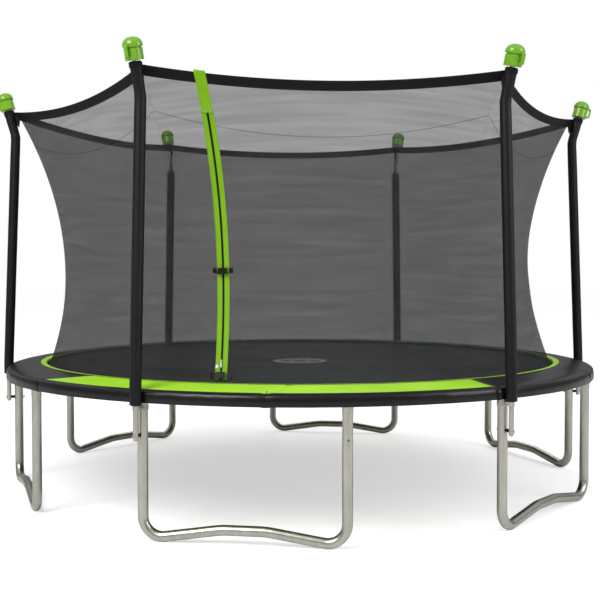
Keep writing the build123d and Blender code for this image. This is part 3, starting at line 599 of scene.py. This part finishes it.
# ---- Jumping mat ----
def build_mat():
    cloth = Shape()
    rings = spread(0.02, MAT_R, 60)
    turns = spread(0, 2 * math.pi, 145)[:-1]

    def height(radius, angle):
        slack = (1 - (radius / MAT_R) ** 2) * 0.004
        wave = noise.noise(Vector((radius * math.cos(angle), radius * math.sin(angle), 0)) * 1.5) * 0.0012
        return MAT_TOP - 0.0008 - slack + wave * (1 - (radius / MAT_R) ** 4)

    top = [[polar(r, a, height(r, a)) for a in turns] for r in rings]
    low = [[point - Vector((0, 0, 0.0018)) for point in row] for row in reversed(top)]
    base, count = cloth.grid(top + low, close_across=True)
    last = base + (2 * len(rings) - 1) * count
    cloth.faces.append(tuple(base + j for j in reversed(range(count))))
    cloth.faces.append(tuple(last + j for j in range(count)))
    mat = cloth.piece("mat_weave_sheet", MAT_CLOTH, "mat", "mat_weave", replaced=["jump_mat"])

    hem, rows = Shape(), Shape()
    profile = [(MAT_R - HEM_W, MAT_TOP + 0.0003), (MAT_R - HEM_W + 0.001, HEM_TOP - 0.0003),
               (MAT_R - 0.003, HEM_TOP), (MAT_R, HEM_TOP - 0.002), (MAT_R, MAT_LOW.z),
               (MAT_R - 0.004, MAT_LOW.z)]
    hem.grid([[polar(r, a, z) for r, z in profile] for a in spread(0, 2 * math.pi, 289)[:-1]],
             close_rows=True, close_across=True)
    hem_piece = hem.piece("mat_hem_webbing", BLACK_WEB, "mat", "black_webbing", replaced=["mat_hem"])
    for inset in (0.006, 0.014, HEM_W - 0.006):
        circle = [polar(MAT_R - inset, a, HEM_TOP + 0.0004) for a in spread(0, 2 * math.pi, 181)]
        rows.stitches(circle, *HEM_SEAM)
    row_piece = rows.piece("mat_hem_stitches", WHITE_THREAD, "mat", "black_webbing")

    loops = Shape()
    for azimuth in spring_azimuths():
        bar = 0.0039
        path = [(MAT_R - 0.034, HEM_TOP + 0.001), (MAT_R - 0.012, HEM_TOP + 0.0011),
                (RING_BAR_R - 0.003, RING_Z + bar)]
        path += [(RING_BAR_R + bar * math.sin(a), RING_Z + bar * math.cos(a))
                 for a in spread(0.2, math.pi - 0.2, 7)]
        path += [(RING_BAR_R - 0.003, RING_Z - bar), (MAT_R - 0.034, MAT_LOW.z - 0.0012)]
        wide = Vector((math.cos(azimuth), math.sin(azimuth), 0)) * 0.014
        loops.strip([polar(r, azimuth, z) for r, z in path], wide, 0.0012)
    loop_piece = loops.piece("mat_ring_loops", BLACK_WEB, "mat", "black_webbing")

    mark = Shape()
    for low_r, high_r in ((0.134, 0.174), (0.112, 0.120)):
        profile = [(low_r, 0.0002), (low_r, 0.0014), (high_r, 0.0014), (high_r, 0.0002)]
        circle = spread(0, 2 * math.pi, 97)[:-1]
        mark.grid([[polar(r, a, height(r, a) + z) for r, z in profile] for a in circle],
                  close_rows=True, close_across=True)
    for number in range(8):
        centre = number * math.pi / 4
        path = [polar(r, centre, height(r, centre) + 0.0010) for r in spread(0.038, 0.094, 4)]
        mark.strip(path, Vector((math.cos(centre), math.sin(centre), 0)) * 0.014, 0.0010)
    mark_piece = mark.piece("mat_centre_mark", PRINT, "mat", "mat_weave")


# ---- Springs ----
def spring_azimuths():
    return [POLE_AZ0 + 2 * math.pi / SPRINGS * (index + 0.5) for index in range(SPRINGS)]


def build_springs():
    """Close-wound springs; each stretches from the rail to the mat's edge."""
    inner_z, outer_z = RING_Z, RAIL_Z + SPRING_RISE
    slot_r = RAIL_R - RAIL_TUBE_R + 0.003
    for number, azimuth in enumerate(spring_azimuths()):
        start, end = polar(SPRING_IN_R, azimuth, inner_z), polar(SPRING_OUT_R, azimuth, outer_z)
        along = (end - start).normalized()
        across = Vector((math.cos(azimuth), math.sin(azimuth), 0))
        other = along.cross(across)
        path = [polar(HOOK_R, azimuth, inner_z - 0.006), polar(HOOK_R, azimuth, inner_z + 0.004),
                polar(1.6345, azimuth, inner_z + 0.0068), polar(1.646, azimuth, inner_z + 0.0068)]
        steps = COIL_TURNS * COIL_SIDES
        for step in range(steps + 1):
            share = step / steps
            width = COIL_R * min(1.0, 0.3 + 9 * min(share, 1 - share))
            angle = 2 * math.pi * step / COIL_SIDES
            path.append(start.lerp(end, share) + (across * math.cos(angle) + other * math.sin(angle)) * width)
        path += [polar(slot_r - 0.006, azimuth, outer_z + 0.002), polar(slot_r - 0.001, azimuth, outer_z),
                 polar(slot_r, azimuth, outer_z - 0.012)]
        shape = Shape()
        shape.tube(path, SPRING_WIRE_R, 5)
        piece = shape.piece(f"spring_{number + 1:02d}", SPRING_STEEL, None, "spring_steel",
                            replaced=["springs"])
        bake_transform(piece)


# ---- Pad ----
def fitted(points, step=0.006):
    """Outline with extra points, its corners softened."""
    fine = []
    for a, b in zip(points, points[1:]):
        first, last = Vector((a[0], a[1], 0)), Vector((b[0], b[1], 0))
        count = max(2, int((last - first).length / step))
        fine += [first.lerp(last, i / count) for i in range(count)]
    fine.append(Vector((*points[-1], 0)))
    for _ in range(3):
        fine = [fine[0]] + [(a + b * 2 + c) / 4 for a, b, c in zip(fine, fine[1:], fine[2:])] + [fine[-1]]
    return [(p.x, p.y) for p in fine]


def pole_dent(azimuth):
    """Largest pad radius beside a sleeve."""
    offset = (azimuth - POLE_AZ0 + STEP / 2) % STEP - STEP / 2
    reach = FOAM_R + 0.0015
    side = POLE_R * math.sin(offset)
    if abs(side) >= reach:
        return 2.0
    return POLE_R * math.cos(offset) - math.sqrt(reach**2 - side**2)


def pad_piece(name, material, slot, low_r, high_r, from_az, to_az, seams, slant_from=0.0, slant_to=0.0):
    """Stuffed vinyl cover between two radii and two azimuths, drawn in at its seams.

    A slant is how far an end's azimuth moves at the inner edge, which makes a pointed end."""
    top = [(r, z) for r, z in fitted(PAD_TOP) if low_r <= r <= high_r]
    under = [(r, z) for r, z in fitted(PAD_UNDER) if low_r <= r <= high_r]
    if high_r < max(r for r, _ in PAD_TOP):
        top.append((high_r, pad_height(high_r, PAD_TOP)))
        under = [(high_r, pad_height(high_r, PAD_UNDER))] + under
    if low_r > PAD_TOP[0][0]:
        top = [(low_r, pad_height(low_r, PAD_TOP))] + top
        under.append((low_r, pad_height(low_r, PAD_UNDER)))
    full = to_az - from_az > 2 * math.pi - 0.01
    count = max(8, int((to_az - from_az) / math.radians(0.6)))
    sections, cloth = [], []
    for azimuth in spread(from_az, to_az, count + 1)[: count if full else None]:
        ends = 1.0 if full else min(azimuth - from_az, to_az - azimuth) * RAIL_R
        pinch = max(math.exp(-((azimuth - seam) * RAIL_R / 0.014) ** 2) for seam in seams) if seams else 0.0
        pinch = max(pinch, math.exp(-((ends / 0.012) ** 2)))
        share = (azimuth - from_az) / (to_az - from_az)
        slant = slant_from * (1 - share) + slant_to * share
        row = []
        for number, (radius, z) in enumerate(top + under):
            if number < len(top):
                edge = min(radius - low_r, high_r - radius, 0.03) / 0.03
                bulge = noise.noise(Vector((azimuth * 9, radius * 11, z * 8))) * 0.0018
                crease = noise.noise(Vector((azimuth * 34, radius * 16, 3.0))) * 0.0009
                z += (bulge + crease - 0.0012) * max(edge, 0.25) - pinch * 0.0045
                if z < 0.735:
                    wave = noise.noise(Vector((azimuth * 26, 7.0, z * 5))) * 0.0015
                    radius += wave - 0.0015 - pinch * 0.0035
            inward = max(0.0, (GREEN_EDGE - radius) / (GREEN_EDGE - RING_EDGE))
            there = azimuth + slant * inward
            row.append(polar(min(radius, pole_dent(there)), there, z))
        sections.append(row)
        cloth.append([(azimuth * RAIL_R, radius) for radius, _ in top + under])
    shape = Shape()
    if full:
        shape.grid(sections, cloth, close_rows=True, close_across=True)
    else:
        shape.solid(sections, cloth)
    made = shape.piece(name, material, "frame", slot)
    return made


def pad_height(radius, outline):
    """Height of an outline at a radius, away from the skirt."""
    for a, b in zip(outline, outline[1:]):
        if min(a[0], b[0]) <= radius <= max(a[0], b[0]) and abs(b[0] - a[0]) > 0.002:
            return a[1] + (b[1] - a[1]) * (radius - a[0]) / (b[0] - a[0])
    return outline[0][1]


def build_pad():
    gap = PAD_GAP / GREEN_EDGE
    outer_r = PAD_TOP[-2][0] + 0.001
    pad_piece("pad_inner_ring", LIME_VINYL, "green_vinyl", PAD_TOP[0][0], RING_EDGE, 0, 2 * math.pi, [])
    thread, welts = Shape(), Shape()
    for number, shift in enumerate((0.0, math.pi), 1):
        low, high = GREEN_FROM + shift, GREEN_TO + shift
        seams = [low + (high - low) * 0.54]
        black_seams = [high + share * (low + math.pi - high) for share in (0.33, 0.66)]
        green = pad_piece(f"pad_lime_panel_{number}", LIME_VINYL, "green_vinyl", RING_EDGE + PAD_GAP,
                          GREEN_EDGE, low, high, seams, slant_from=WEDGE)
        pad_piece(f"pad_rim_{number}", BLACK_VINYL, "black_vinyl", GREEN_EDGE + PAD_GAP, outer_r,
                  low - gap, high + gap, seams)
        black = pad_piece(f"pad_black_panel_{number}", BLACK_VINYL, "black_vinyl", RING_EDGE + PAD_GAP,
                          outer_r, high + 2 * gap, low + math.pi - 2 * gap, black_seams, slant_to=WEDGE)
        if number == 1:
            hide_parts("pad_green")
            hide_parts("pad_black")
        for seam in seams + black_seams:
            profile = [(r, z) for r, z in fitted(PAD_TOP, 0.012) if r > RING_EDGE + 0.003 and z > 0.69]
            path = [polar(min(r, 1.8385), seam + 0.012 * max(0.0, (0.745 - z) / 0.05), z - 0.0040)
                    for r, z in profile]
            welts.tube(path, WELT_R, 5)
        for seam in (low, high):
            wedge = WEDGE if seam == low else 0.0
            line = []
            for r in spread(RING_EDGE + 0.004, 1.825, 14):
                inward = max(0.0, (GREEN_EDGE - r) / (GREEN_EDGE - RING_EDGE))
                line.append(polar(r, seam + 0.004 + wedge * inward, pad_height(r, PAD_TOP) - 0.0006))
            thread.stitches(line, *PAD_SEAM)
    for degrees in range(-170, 190, 20):
        azimuth = math.radians(degrees)
        line = [polar(1.8395, azimuth + 0.02 * (z - 0.69) / 0.04, z) for z in spread(0.692, 0.722, 6)]
        thread.stitches(line, *FINE_SEAM)
    thread.piece("pad_stitches", BLACK_THREAD, slot="black_vinyl")
    welts.piece("pad_seam_welts", BLACK_VINYL, slot="black_vinyl")

    piping = Shape()
    piping_z = pad_height(RING_EDGE, PAD_TOP) - 0.0004
    circle = [polar(RING_EDGE, a, piping_z) for a in spread(0, 2 * math.pi, 289)[:-1]]
    piping.tube(circle, PIPING_R, 6, closed=True)
    piping.piece("pad_ring_piping", BLACK_VINYL, slot="black_vinyl")

    ties = Shape()
    for number in range(24):
        azimuth = POLE_AZ0 + 2 * math.pi / SPRINGS * (number * 2.75 + 1)
        wide = Vector((math.cos(azimuth), math.sin(azimuth), 0)) * 0.010
        turn_r = RAIL_TUBE_R + 0.0022
        path = [polar(RAIL_R - turn_r - 0.004, azimuth, 0.742)]
        path += [polar(RAIL_R - turn_r * math.cos(a), azimuth, RAIL_Z - turn_r * math.sin(a))
                 for a in spread(-0.4, math.pi + 0.5, 16)]
        path.append(polar(RAIL_R + turn_r - 0.002, azimuth, 0.731))
        ties.strip(path, wide, 0.0014)
    ties.piece("pad_elastic_ties", BLACK_WEB, slot="black_webbing")


# ---- Foam sleeves and corner straps ----
def rounded(points, radii, step=0.05):
    """Points along straight runs joined by smooth bends."""
    path = [points[0]]
    for before, corner, after, radius in zip(points, points[1:], points[2:], radii):
        into, out = (corner - before).normalized(), (after - corner).normalized()
        turn = into.angle(out)
        reach = radius * math.tan(turn / 2)
        first, last = corner - into * reach, corner + out * reach
        count = max(2, int(turn * radius / 0.012))
        path += [first * (1 - s) ** 2 + corner * 2 * s * (1 - s) + last * s**2
                 for s in spread(0, 1, count + 1)]
    path.append(points[-1])
    fine = []
    for a, b in zip(path, path[1:]):
        parts = max(1, int((b - a).length / step))
        fine += [a.lerp(b, i / parts) for i in range(parts)]
    return fine + [path[-1]]


def pole_run(bare):
    """Centreline of a sleeve at azimuth 0."""
    lean, bend = Vector((0, -POLE_R, POLE_LEAN_Z)), Vector((0, -POLE_BEND[0], POLE_BEND[1]))
    up = (Vector((0, -POLE_TOP[0], POLE_TOP[1])) - bend).normalized()
    foot = Vector((0, -POLE_R, FOAM_LOW_Z))
    if bare:
        return rounded([foot, lean, lean.lerp(bend, (BARE_TOP_Z - lean.z) / (bend.z - lean.z))], [1.5])
    return rounded([foot, lean, bend, bend + up * FOAM_TOP_S], [1.5, 0.16])


def sleeve_ring(here, along, radius, wrinkle, phase):
    side = Vector((1, 0, 0))
    other = along.cross(side).normalized()
    row = []
    for j in range(SLEEVE_SIDES):
        angle = 2 * math.pi * j / SLEEVE_SIDES
        seam = 0.0009 * math.exp(-((j - 10) / 0.8) ** 2)
        soft = noise.noise(Vector((math.cos(angle), math.sin(angle), here.z * 9 + phase))) * 0.0006
        reach = radius + wrinkle + soft - seam - 0.0004
        row.append(here + (side * math.cos(angle) + other * math.sin(angle)) * reach)
    return row


def build_sleeves():
    black = Shape()
    thread = Shape()
    for index in range(SIDES):
        bare = index in BARE_POLES
        path = pole_run(bare)
        bend_z = POLE_BEND[1]
        rows, inner = [], []
        for number, here in enumerate(path):
            along = (path[min(number + 1, len(path) - 1)] - path[max(number - 1, 0)]).normalized()
            near = math.exp(-(((here.z - bend_z) / 0.05) ** 2))
            fold = -0.0011 * near * (1 + math.sin(here.z * 420))
            for ends in ((0, 1), (len(path) - 1, -1)):
                if number == ends[0]:
                    shrink = [(0.0, 0.007), (0.0015, 0.003), (0.004, 0.0)]
                    shrink = shrink if ends[1] == 1 else shrink[::-1]
                    for shift, less in shrink:
                        spot = here + along * shift * ends[1]
                        rows.append(sleeve_ring(spot, along, FOAM_R - less, 0, index))
                    break
            else:
                rows.append(sleeve_ring(here, along, FOAM_R, fold, index))
            inner.append([here + (p - here).normalized() * (POLE_TUBE_R + 0.0008)
                          for p in sleeve_ring(here, along, FOAM_R, 0, index)])
        rows = [[turned(p, index - 0.5) for p in row] for row in rows + inner[::-1]]
        cloth = [[(j * 0.0047, row[0].z) for j in range(SLEEVE_SIDES)] for row in rows]
        shape = Shape()
        shape.grid(rows, cloth, close_rows=True, close_across=True)
        number = index + 1
        made = shape.piece(f"sleeve_{number}", SLEEVE, slot="pole_foam", replaced=[f"foam_sleeve_{number}"])
        corner_strap(black, thread, index, bare)
    black.piece("corner_strap_webbing", BLACK_WEB, slot="black_webbing", replaced=["corner_straps"])
    thread.piece("corner_strap_stitches", BLACK_THREAD, slot="black_webbing")


def corner_strap(black, thread, index, bare):
    """Webbing round the pole under the cap, and the gusset that holds the net's corner."""
    bend = Vector((0, -POLE_BEND[0], POLE_BEND[1]))
    up = (Vector((0, -POLE_TOP[0], POLE_TOP[1])) - bend).normalized()
    side, other = Vector((1, 0, 0)), up.cross(Vector((1, 0, 0)))
    hold = (POLE_TUBE_R if bare else FOAM_R) + 0.0012
    rows = []
    for angle in spread(0, 2 * math.pi, 49)[:-1]:
        out = side * math.cos(angle) + other * math.sin(angle)
        wave = 0.0004 * math.sin(angle * 5 + index)
        section = []
        for depth, rise in ((0, 0), (0.0018, 0), (0.0018, 0.025), (0, 0.025)):
            spot = bend + up * (FOAM_TOP_S - 0.0305 + rise) + out * (hold + depth + wave)
            section.append(turned(spot, index - 0.5))
        rows.append(section)
    black.grid(rows, close_rows=True, close_across=True)
    corner_r = NET_FLAT / math.cos(STEP / 2)
    reach = bend + up * (FOAM_TOP_S - 0.018)
    hold_r = -reach.y - hold
    outline = [(hold_r + 0.004, reach.z + 0.012), (corner_r - 0.016, NET_TOP_Z - 0.002),
               (corner_r - 0.022, NET_TOP_Z - BAND_H), (corner_r - 0.014, NET_TOP_Z - 0.098),
               (hold_r + 0.002, reach.z - 0.040)]
    flat = []
    for x in (-0.0016, 0.0016):
        flat.append([turned(Vector((x, -r, z)), index - 0.5) for r, z in outline])
    black.solid(flat)
    for drop in (0.012, 0.034):
        path = [turned(Vector((0.0021, -r, NET_TOP_Z - drop)), index - 0.5)
                for r in (corner_r - 0.014, hold_r - 0.002)]
        thread.stitches(path, *STRAP_SEAM)


# ---- CAD nodes that stay ----
def finish_nodes():
    """Gives each CAD node that stays in view its own material."""
    by_start = [
        (("w_leg", "leg_tubes", "t_sockets", "top_rail", "pole_lower"), GALVANISED),
        (("pole_upper",), POLISHED),
        (("pole_clamps", "pole_bolts", "pole_nuts"), ZINC),
        (("pole_spacers", "buckle"), BLACK_PLASTIC),
        (("pole_cap",), LIME_PLASTIC),
        (("mat_rings",), SPRING_STEEL),
        (("zip_slider", "zip_pull"), DIE_CAST),
    ]
    for name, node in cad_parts.items():
        for starts, material in by_start:
            if name.startswith(starts):
                node.data.materials.clear()
                node.data.materials.append(material)


# ---- Studio ----
def build_studio():
    floor_mesh = bpy.data.meshes.new("studio_floor")
    far = 60.0
    corners = [(-far, -far, 0), (far, -far, 0), (far, far, 0), (-far, far, 0)]
    floor_mesh.from_pydata(corners, [], [(0, 1, 2, 3)])
    floor = bpy.data.objects.new("studio_floor", floor_mesh)
    paper, paper_tree, shader = principled("studio_paper", (0.85, 0.85, 0.85), 0.9)
    shader.inputs["Emission Color"].default_value = (1, 1, 1, 1)
    seen = paper_tree.nodes.new("ShaderNodeLightPath").outputs["Is Camera Ray"]
    glow = maths(paper_tree, "MULTIPLY", seen, FLOOR_GLOW)
    paper_tree.links.new(glow, shader.inputs["Emission Strength"])
    floor_mesh.materials.append(paper)
    bpy.context.scene.collection.objects.link(floor)

    world = bpy.data.worlds.new("studio_sky")
    world.use_nodes = True
    tree = world.node_tree
    sky = tree.nodes["Background"]
    height = tree.nodes.new("ShaderNodeSeparateXYZ")
    tree.links.new(tree.nodes.new("ShaderNodeTexCoord").outputs["Generated"], height.inputs["Vector"])
    shade = tree.nodes.new("ShaderNodeValToRGB")
    shade.color_ramp.elements[0].color = (0.10, 0.10, 0.104, 1)
    shade.color_ramp.elements[1].color = (0.62, 0.62, 0.62, 1)
    shade.color_ramp.elements[1].position = 0.75
    tree.links.new(maths(tree, "ABSOLUTE", height.outputs["Z"]), shade.inputs["Fac"])
    seen = tree.nodes.new("ShaderNodeMix")
    seen.data_type = "RGBA"
    seen.inputs["B"].default_value = (1.0, 1.0, 1.0, 1)
    tree.links.new(tree.nodes.new("ShaderNodeLightPath").outputs["Is Camera Ray"], seen.inputs["Factor"])
    tree.links.new(shade.outputs["Color"], seen.inputs["A"])
    tree.links.new(seen.outputs["Result"], sky.inputs["Color"])
    sky.inputs["Strength"].default_value = 1.0
    bpy.context.scene.world = world
    bpy.context.scene.view_settings.view_transform = "Standard"

    for name, spot, size, watts in LAMPS:
        lamp = bpy.data.lights.new(name, "AREA")
        lamp.size = size
        lamp.energy = watts
        lit = bpy.data.objects.new(name, lamp)
        lit.location = spot
        lit.rotation_euler = (Vector((0, 0, 1)) - Vector(spot)).to_track_quat("-Z", "Y").to_euler()
        bpy.context.scene.collection.objects.link(lit)


def build_camera():
    distance, height, azimuth, pitch = 6.52, 1.3286, math.radians(-4.62), math.radians(1.667)
    lens = bpy.data.cameras.new("view")
    lens.lens = 60.09
    lens.sensor_width = 36
    camera = bpy.data.objects.new("view", lens)
    camera.location = polar(distance, azimuth, height)
    aim = polar(-1, azimuth, -math.tan(pitch))
    camera.rotation_euler = aim.to_track_quat("-Z", "Y").to_euler()
    bpy.context.scene.collection.objects.link(camera)
    bpy.context.scene.camera = camera


build_camera()
build_studio()
finish_nodes()
build_mat()
build_springs()
build_pad()
build_sleeves()
build_net()
build_door()
build_door_straps()
